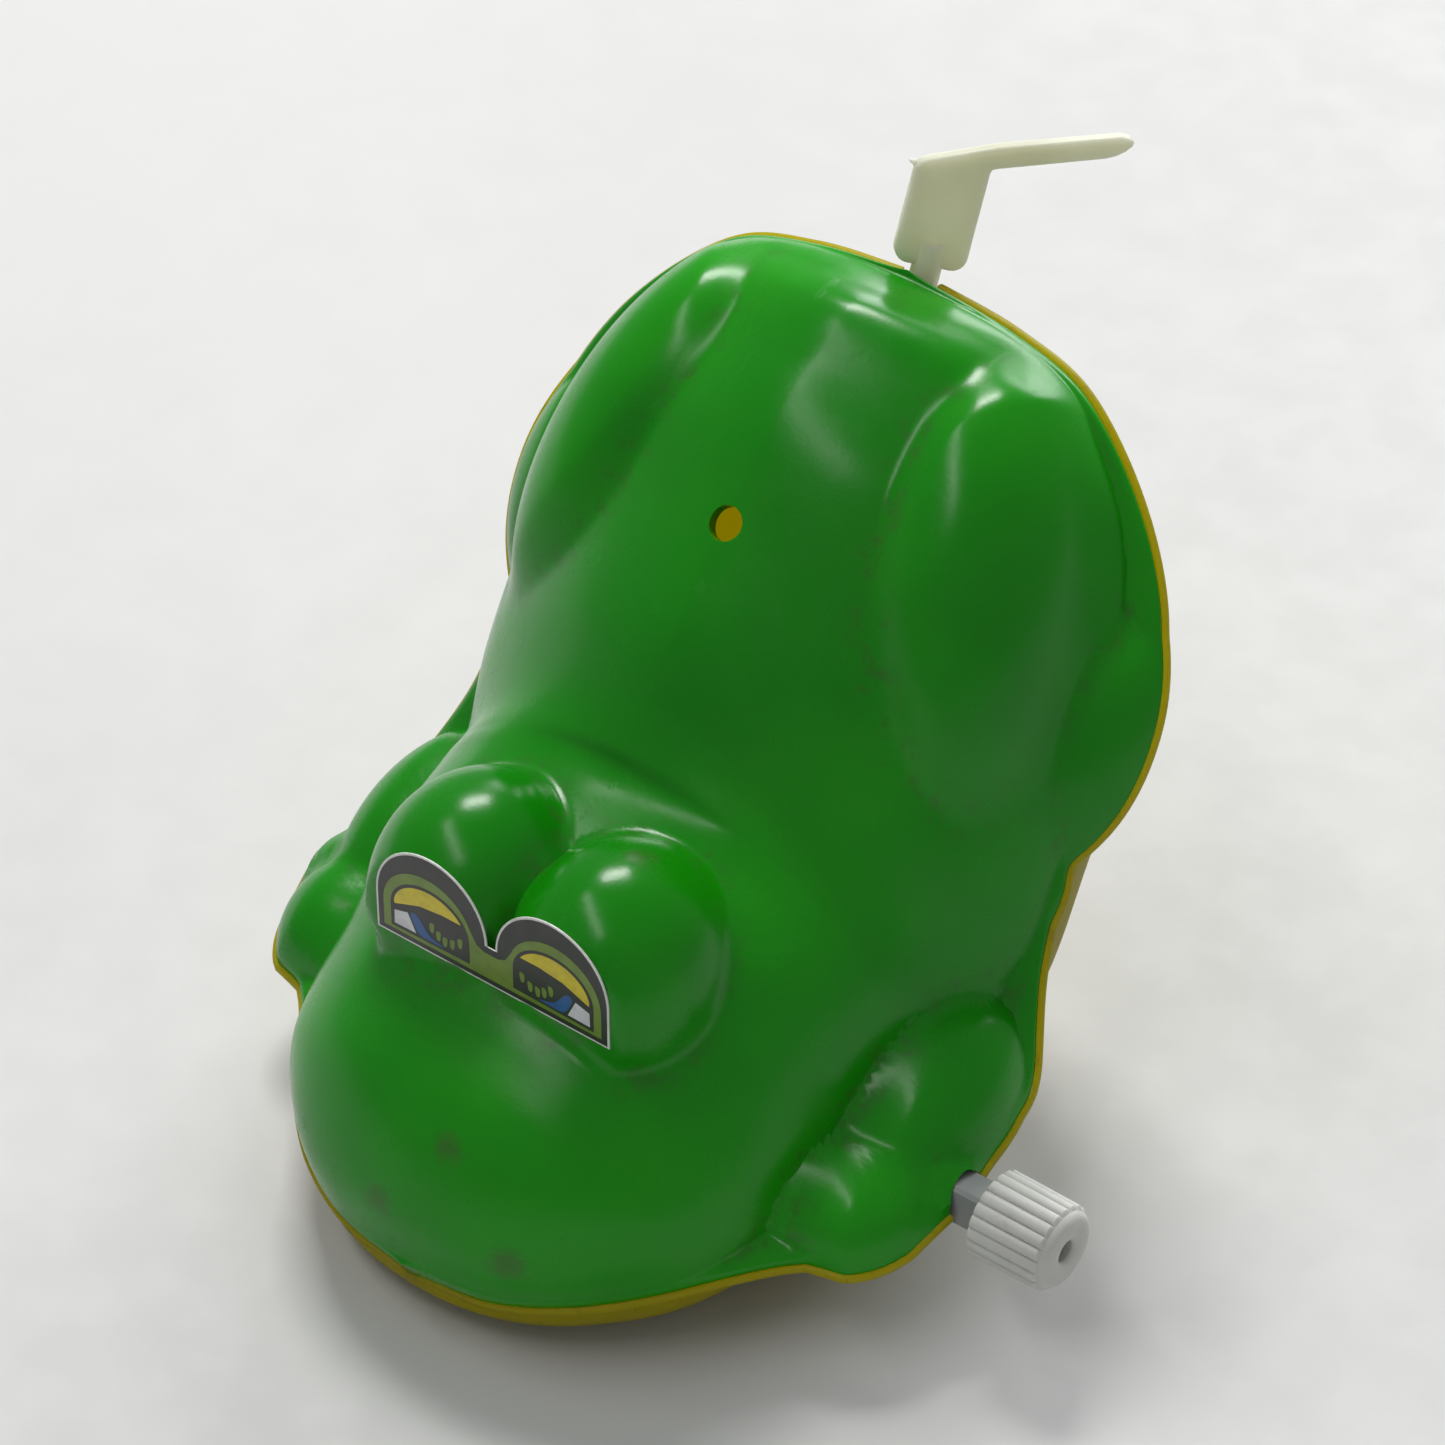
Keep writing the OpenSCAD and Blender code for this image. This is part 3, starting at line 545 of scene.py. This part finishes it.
def paper_floor():
    n = Nodes("paper_floor")
    base = n.mix(n.ramp(n.noise(5, 3), 0.35, 0.65), (0.58, 0.58, 0.572), (0.62, 0.62, 0.612))
    fibre = n.noise(120, 4, 0.6)
    normal = n.bump(fibre, 0.12, 0.15)
    normal = n.bump(n.noise(14, 3), 0.8, 0.25, normal)
    n.set(Base_Color=base, Roughness=n.ramp(fibre, 0.3, 0.7, 0.55, 0.68), Normal=normal)
    return n.mat


# Places on the back shell with old marks, millimetres, and how wide each is
SMUDGES = [((-2.5, -38.0, 14.0), 2.2), ((3.5, -35.0, 21.5), 2.0), ((11.0, -36.5, 13.0), 2.4),
           ((8.5, -14.5, 43.5), 2.0)]


# ---- the two shells ------------------------------------------------------------------------------
# Blurring steps that give the neighbourhood's mean, and the depth in mm that counts as a full crease
BLUR_PASSES = 40
CREASE_DEPTH = 0.35


def crease_depth(t):
    """How far each point of the grid lies below its neighbourhood's mean."""
    blurred = t.copy()
    for _ in range(BLUR_PASSES):
        pad = np.pad(blurred, 1, mode="edge")
        blurred = (pad[:-2, 1:-1] + pad[2:, 1:-1] + pad[1:-1, :-2] + pad[1:-1, 2:] + 4 * pad[1:-1, 1:-1]) / 8
    return np.clip((blurred - t) / CREASE_DEPTH, 0, 1)


def store_attribute(obj, name, points, values):
    """Gives every vertex the value of the nearest point."""
    tree = KDTree(len(points))
    for i, p in enumerate(points):
        tree.insert(p, i)
    tree.balance()
    data = obj.data.attributes.new(name, "FLOAT", "POINT").data
    for v in obj.data.vertices:
        data[v.index].value = float(values[tree.find(v.co)[1]])


def tail_axis_point(dist):
    a = math.radians(TAIL_LEAN)
    return (0, TAIL_FOOT[0] + dist * math.sin(a), TAIL_FOOT[1] + dist * math.cos(a))


TAIL_DIR = (0, math.sin(math.radians(TAIL_LEAN)), math.cos(math.radians(TAIL_LEAN)))


def cut_openings(shell, slot_r):
    """Openings for the winding shaft and for the tail's stem."""
    cut_with(shell, tube("cut", (35, KNOB_Y, KNOB_Z), (1, 0, 0), SHAFT_HOLE_R, 30))
    cut_with(shell, tube("cut", tail_axis_point(3), TAIL_DIR, slot_r, 30))


def make_shells(green, yellow):
    back = back_shell()
    tilt = math.radians(BACK_HOLE_TILT)
    cut_with(back, tube("cut", BACK_HOLE_AT, (0, -math.sin(tilt), math.cos(tilt)), BACK_HOLE_R, 12))
    cut_openings(back, UPPER_SLOT_R)
    o, d, t = upper_rows(U, ANGLES)
    points = ((o + d * t[..., None]) * MM).reshape(-1, 3)
    # The crease depth drives the painted shade and dirt in the green's creases
    store_attribute(back, "crease", points, crease_depth(t).reshape(-1))
    belly = belly_shell()
    cut_openings(belly, LOWER_SLOT_R)
    for obj, mat, node, slot in ((back, green, "upper_shell", "green_plastic"),
                                 (belly, yellow, "lower_shell", "yellow_plastic")):
        shade(obj)
        obj.data.materials.clear()
        obj.data.materials.append(mat)
        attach(obj, "shells")
        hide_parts(node)
    return back, belly


# ---- sticker ------------------------------------------------------------------------------------
def arch(cx, cz, rx, rz, steps=28):
    """Points over the top of a half ellipse, from its right foot to its left."""
    return [(cx + rx * math.cos(math.pi * k / steps), cz + rz * math.sin(math.pi * k / steps))
            for k in range(steps + 1)]


def double_arch(centre, foot_z, rx, rz, bottom, side, notch):
    """Outline of two arches side by side over one straight bottom edge."""
    right = [p for p in arch(centre, foot_z, rx, rz) if p[0] > notch]
    left = [(-x, z) for x, z in reversed(right)]
    return [(side, bottom)] + right + left + [(-side, bottom)]


def mirror(points):
    return [(-x, z) for x, z in reversed(points)]


def spread(points, steps=6):
    """A smooth closed curve through a few points."""
    out = []
    n = len(points)
    for i in range(n):
        a, b, c, d = (np.array(points[(i + k) % n], float) for k in (-1, 0, 1, 2))
        for k in range(steps):
            t = k / steps
            out.append(tuple(0.5 * (2 * b + (c - a) * t + (2 * a - 5 * b + 4 * c - d) * t * t
                                    + (3 * b - a - 3 * c + d) * t ** 3)))
    return out


def sticker_layers():
    """Each layer: its colour, and its outlines in x and z on the eyes' flat, millimetres."""
    paper = [double_arch(6.9, 35.8, 6.4, 6.66, 31.4, 13.3, 0.02)]
    black = [double_arch(6.9, 35.8, 6.18, 6.43, 31.6, 13.08, 0.25)]
    lime = [[(12.45, 32.15)] + [p for p in arch(7.25, 35.0, 5.2, 5.0) if p[0] > 2.2]
            + [(1.6, 35.4), (0.8, 35.05), (-0.8, 35.05), (-1.6, 35.4)]
            + [(-x, z) for x, z in reversed([p for p in arch(7.25, 35.0, 5.2, 5.0) if p[0] > 2.2])]
            + [(-12.45, 32.15)]]
    eye = [(11.6, 32.5)] + arch(7.05, 35.1, 4.55, 3.75) + [(2.5, 32.7)]
    lid = [(11.1, 35.25)] + [p for p in arch(7.05, 35.2, 4.15, 3.3) if p[1] > 35.3 + (11.2 - p[0]) * 0.2] \
        + [(3.4, 36.75), (5.5, 36.75), (8.2, 36.4)]
    white = [(11.15, 34.45), (11.2, 32.9), (8.7, 32.95), (9.6, 34.9)]
    blue = spread([(5.4, 32.98), (7.1, 33.5), (8.5, 35.15), (9.25, 35.0), (8.9, 33.9), (8.2, 33.0),
                   (6.8, 32.9)], 4)
    strokes = [spread([(x - 0.22, z + 0.5), (x + 0.3, z + 0.4), (x + 0.25, z - 0.45), (x - 0.1, z - 0.5)], 4)
               for x, z in ((3.5, 34.5), (4.4, 33.9), (5.25, 33.75), (6.0, 34.05), (6.75, 34.6))]

    def both(shapes):
        return shapes + [mirror(shape) for shape in shapes]

    return [("paper_white", paper, 0.0, 0.13), ("print_black", black, 0.13, 0.15),
            ("print_lime", lime, 0.15, 0.17),
            ("print_black", both([eye]), 0.17, 0.185), ("print_yellow", both([lid]), 0.185, 0.2),
            ("print_white", both([white]), 0.185, 0.2), ("print_blue", both([blue]), 0.185, 0.2),
            ("print_lime", both(strokes), 0.185, 0.2)]


PRINT_COLOURS = {"paper_white": (0.78, 0.78, 0.75), "print_black": (0.012, 0.012, 0.012),
                 "print_lime": (0.16, 0.26, 0.02), "print_yellow": (0.72, 0.58, 0.01),
                 "print_white": (0.72, 0.72, 0.76), "print_blue": (0.01, 0.10, 0.33)}


def make_sticker():
    verts, faces, slots = [], [], []
    names = list(PRINT_COLOURS)
    for name, outlines, low, high in sticker_layers():
        for outline in outlines:
            n, base = len(outline), len(verts)
            for depth in (low, high):
                verts += [(x * MM, (EYE_FLAT_Y - depth) * MM, z * MM) for x, z in outline]
            faces.append([base + n + k for k in range(n)])
            faces.append([base + k for k in range(n - 1, -1, -1)])
            faces += [[base + k, base + (k + 1) % n, base + n + (k + 1) % n, base + n + k] for k in range(n)]
            slots += [names.index(name)] * (n + 2)
    obj = new_object("eye_print", verts, faces)
    for name in names:
        obj.data.materials.append(print_colour(name, PRINT_COLOURS[name]))
    for poly, slot in zip(obj.data.polygons, slots):
        poly.material_index = slot
    fix_normals(obj)
    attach(obj, "shells")
    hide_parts("eye_sticker")


def fix_normals(obj):
    made = bmesh.new()
    made.from_mesh(obj.data)
    bmesh.ops.recalc_face_normals(made, faces=made.faces)
    made.to_mesh(obj.data)
    made.free()


# ---- knob ----------------------------------------------------------------------------------------
KNOB_X0 = 40.8
KNOB_RIBS = 20
RIB_STEPS = 12
SHAFT_W = 3.8
SHAFT_ROLL = -11
# Knob profile from its back face to the bottom of its bore: along the axis, radius, rib height
KNOB_PROFILE = [(0.25, 2.9, 0), (0.0, 3.4, 0), (0.0, 3.82, 0.3), (0.12, 3.92, 0.38), (0.4, 3.92, 0.38),
                (3.6, 3.9, 0.38), (7.0, 3.86, 0.38), (7.2, 3.86, 0.34), (7.38, 3.84, 0.14), (7.46, 3.82, 0),
                (7.6, 3.78, 0), (7.9, 3.6, 0), (8.1, 3.38, 0), (8.2, 3.1, 0), (8.2, 2.2, 0), (8.16, 1.6, 0),
                (8.02, 1.28, 0), (7.8, 1.1, 0), (5.4, 1.1, 0)]


def make_knob(material):
    around = KNOB_RIBS * RIB_STEPS
    verts = []
    for x, radius, rib in KNOB_PROFILE:
        for k in range(around):
            phase = (k % RIB_STEPS) / RIB_STEPS
            r = radius + rib * math.sqrt(max(0, 1 - (2 * phase - 1) ** 2))
            a = 2 * math.pi * k / around
            verts.append(((KNOB_X0 + x) * MM, (KNOB_Y + r * math.cos(a)) * MM,
                          (KNOB_Z + r * math.sin(a)) * MM))
    faces = []
    for i in range(len(KNOB_PROFILE) - 1):
        for k in range(around):
            n = (k + 1) % around
            faces.append((i * around + k, i * around + n, (i + 1) * around + n, (i + 1) * around + k))
    faces.append(tuple(range(around)))
    faces.append(tuple(range(len(verts) - 1, len(verts) - around - 1, -1)))
    obj = new_object("knob_ribbed", verts, faces)
    fix_normals(obj)
    made = bmesh.new()
    side = (SHAFT_W + 0.06) * MM
    turn = Matrix.Rotation(math.radians(SHAFT_ROLL), 4, "X")
    place = Matrix.Translation(((KNOB_X0 + 1.5) * MM, KNOB_Y * MM, KNOB_Z * MM))
    bmesh.ops.create_cube(made, size=1, matrix=place @ turn @ Matrix.Diagonal((5 * MM, side, side, 1)))
    mesh = bpy.data.meshes.new("socket")
    made.to_mesh(mesh)
    made.free()
    cutter = bpy.data.objects.new("socket", mesh)
    bpy.context.collection.objects.link(cutter)
    cut_with(obj, cutter)
    shade(obj, 32)
    obj.data.materials.clear()
    obj.data.materials.append(material)
    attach(obj, "winder")
    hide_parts("winding_knob")


# ---- tail ----------------------------------------------------------------------------------------
STEM_R = 1.4
BLADE_HALF = 3.4
BLADE_T = 1.6
BLADE_Z0 = 1.4
BLADE_Z1 = 13.6
ARM_LEN = 12.6
ARM_RISE = 16
ARM_H = 2.1
CORNER_R = 1.4


def bend(cx, cz, r, first, last, steps=6):
    turns = [math.radians(first + (last - first) * k / steps) for k in range(steps + 1)]
    return [(cx + r * math.cos(a), cz + r * math.sin(a)) for a in turns]


def tail_outline():
    """The blade and its bent arm seen flat, as in the CAD part, with rounder ends."""
    rise = math.radians(ARM_RISE)
    h = BLADE_HALF
    tip = (h + ARM_LEN * math.cos(rise), BLADE_Z1 - 0.5 + ARM_LEN * math.sin(rise))

    def by_tip(dx, dz):
        return (tip[0] + dx, tip[1] + dz)

    return (bend(-h + CORNER_R, BLADE_Z0 + CORNER_R, CORNER_R, 180, 270)
            + bend(h - CORNER_R, BLADE_Z0 + CORNER_R, CORNER_R, 270, 360)
            + [(h, BLADE_Z1 - ARM_H - 0.5), (h + 0.12, BLADE_Z1 - ARM_H - 0.12),
               (h + 0.5, BLADE_Z1 - ARM_H + 0.06),
               by_tip(-2.2, -ARM_H), by_tip(-1.3, -1.65), by_tip(-0.6, -1.1), by_tip(-0.1, -0.45), tip,
               by_tip(-0.5, 0.18), by_tip(-1.3, 0.25), (h, BLADE_Z1), (-h + 1, BLADE_Z1 - 2.3),
               (-h + 0.25, BLADE_Z1 - 2.75), (-h, BLADE_Z1 - 3.3)])


def tail_matrix():
    """From the tail's own axes to the toy's: z runs up the stem, x across the blade."""
    place = Matrix.Translation(Vector(tail_axis_point(0)) * MM)
    lean = Matrix.Rotation(math.radians(-TAIL_LEAN), 4, "X")
    return place @ lean @ Matrix.Rotation(math.radians(TAIL_TURN), 4, "Z")


def prism(outline, half, name):
    n = len(outline)
    verts = [(x * MM, y * MM, z * MM) for y in (-half, half) for x, z in outline]
    faces = [list(range(n)), list(range(2 * n - 1, n - 1, -1))]
    faces += [[k, n + k, n + (k + 1) % n, (k + 1) % n] for k in range(n)]
    return new_object(name, verts, faces)


def join_with(obj, other):
    mod = obj.modifiers.new("join", "BOOLEAN")
    mod.operation = "UNION"
    mod.object = other
    mod.solver = "MANIFOLD"
    apply_modifiers(obj)
    bpy.data.objects.remove(other)


def make_tail(material):
    blade = prism(tail_outline(), BLADE_T / 2, "tail_blade")
    fix_normals(blade)
    mod = blade.modifiers.new("edges", "BEVEL")
    mod.width = 0.28 * MM
    mod.segments = 3
    mod.limit_method = "ANGLE"
    mod.angle_limit = math.radians(50)
    apply_modifiers(blade)
    stem = tube("stem", (0, 0, -2.6), (0, 0, 1), STEM_R, 12.4)
    join_with(blade, stem)
    burr = prism([(-3.3, 10.2), (-3.95, 10.55), (-4.0, 10.75), (-3.3, 10.8)], 0.25, "burr")
    fix_normals(burr)
    join_with(blade, burr)
    bore = tube("bore", (0, 0, -7), (0, 0, 1), 0.82, 10)
    cut_with(blade, bore)
    blade.data.transform(tail_matrix())
    shade(blade, 35)
    blade.data.materials.clear()
    blade.data.materials.append(material)
    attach(blade, "tail")
    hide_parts("tail_kicker")


# ---- staging -------------------------------------------------------------------------------------
def make_floor():
    made = bmesh.new()
    bmesh.ops.create_grid(made, x_segments=40, y_segments=40, size=1.6)
    mesh = bpy.data.meshes.new("floor")
    made.to_mesh(mesh)
    made.free()
    floor = bpy.data.objects.new("floor", mesh)
    bpy.context.collection.objects.link(floor)
    floor.data.materials.append(paper_floor())


def area_light(name, place, target, size, power, colour=(1, 1, 1), shine=1.0):
    data = bpy.data.lights.new(name, "AREA")
    data.shape = "RECTANGLE"
    data.size, data.size_y = size
    data.energy = power
    data.color = colour
    data.specular_factor = shine
    obj = bpy.data.objects.new(name, data)
    obj.location = place
    obj.rotation_euler = (Vector(target) - Vector(place)).to_track_quat("-Z", "Y").to_euler()
    bpy.context.collection.objects.link(obj)


def make_lights():
    world = bpy.data.worlds.new("studio")
    world.use_nodes = True
    world.node_tree.nodes["Background"].inputs["Color"].default_value = (0.95, 0.97, 1.0, 1)
    world.node_tree.nodes["Background"].inputs["Strength"].default_value = 0.3
    bpy.context.scene.world = world
    area_light("ceiling_front", (-0.3, -0.45, 1.25), (0, 0, 0.04), (1.3, 0.14), 4, (1, 0.99, 0.97), 2.6)
    area_light("ceiling_back", (-0.55, 0.55, 1.2), (0, 0, 0.04), (0.5, 0.3), 12, (1, 0.99, 0.97), 1.4)
    area_light("window", (-0.3, 1.5, 0.75), (0, 0, 0.04), (1.2, 0.7), 18, (0.97, 0.99, 1), 0.3)


def make_view():
    bpy.context.scene.view_settings.view_transform = "Standard"


def make_camera():
    """Looks down on the frog from its left front, as the photograph does."""
    data = bpy.data.cameras.new("camera")
    data.lens = 142.1
    data.sensor_width = 36
    data.clip_start = 0.01
    data.dof.use_dof = False
    camera = bpy.data.objects.new("camera", data)
    right = Vector((0.787, 0.6165, 0.0)).normalized()
    back = Vector((0.475, -0.606, 0.638))
    back = (back - right * back.dot(right)).normalized()
    up = back.cross(right)
    turn = Matrix((right, up, back)).transposed().to_4x4()
    camera.matrix_world = Matrix.Translation((0.2460, -0.3058, 0.3707)) @ turn
    bpy.context.collection.objects.link(camera)
    bpy.context.scene.camera = camera


# CAD nodes that a finer piece stands in for
REPLACED = ("upper_shell", "lower_shell", "eye_sticker", "winding_knob", "tail_kicker")


def dress_cad_nodes(finishes):
    """Every CAD piece that still shows gets its own finish, by the record's slot."""
    for part in frame["record"]["subparts"]:
        name, slot = part["node"], part["material_slot"]
        obj = frame["nodes"].get(name)
        if obj is None or name in REPLACED:
            continue
        obj.data.materials.clear()
        obj.data.materials.append(finishes[slot])


make_floor()
make_lights()
make_camera()
make_view()
green, yellow, clear, grey = green_plastic(), yellow_plastic(), nylon(), knob_plastic()
make_shells(green, yellow)
make_sticker()
make_knob(grey)
make_tail(clear)
dress_cad_nodes({
    "yellow_plastic": yellow, "clear_nylon": clear, "knob_plastic": grey, "shaft_plastic": shaft_plastic(),
    "motor_plate": motor_plate(), "brass": metal("brass", (0.62, 0.42, 0.13), (0.75, 0.54, 0.2), 0.25, 0.4),
    "steel": metal("steel", (0.42, 0.42, 0.43), (0.6, 0.6, 0.62), 0.22, 0.38)})
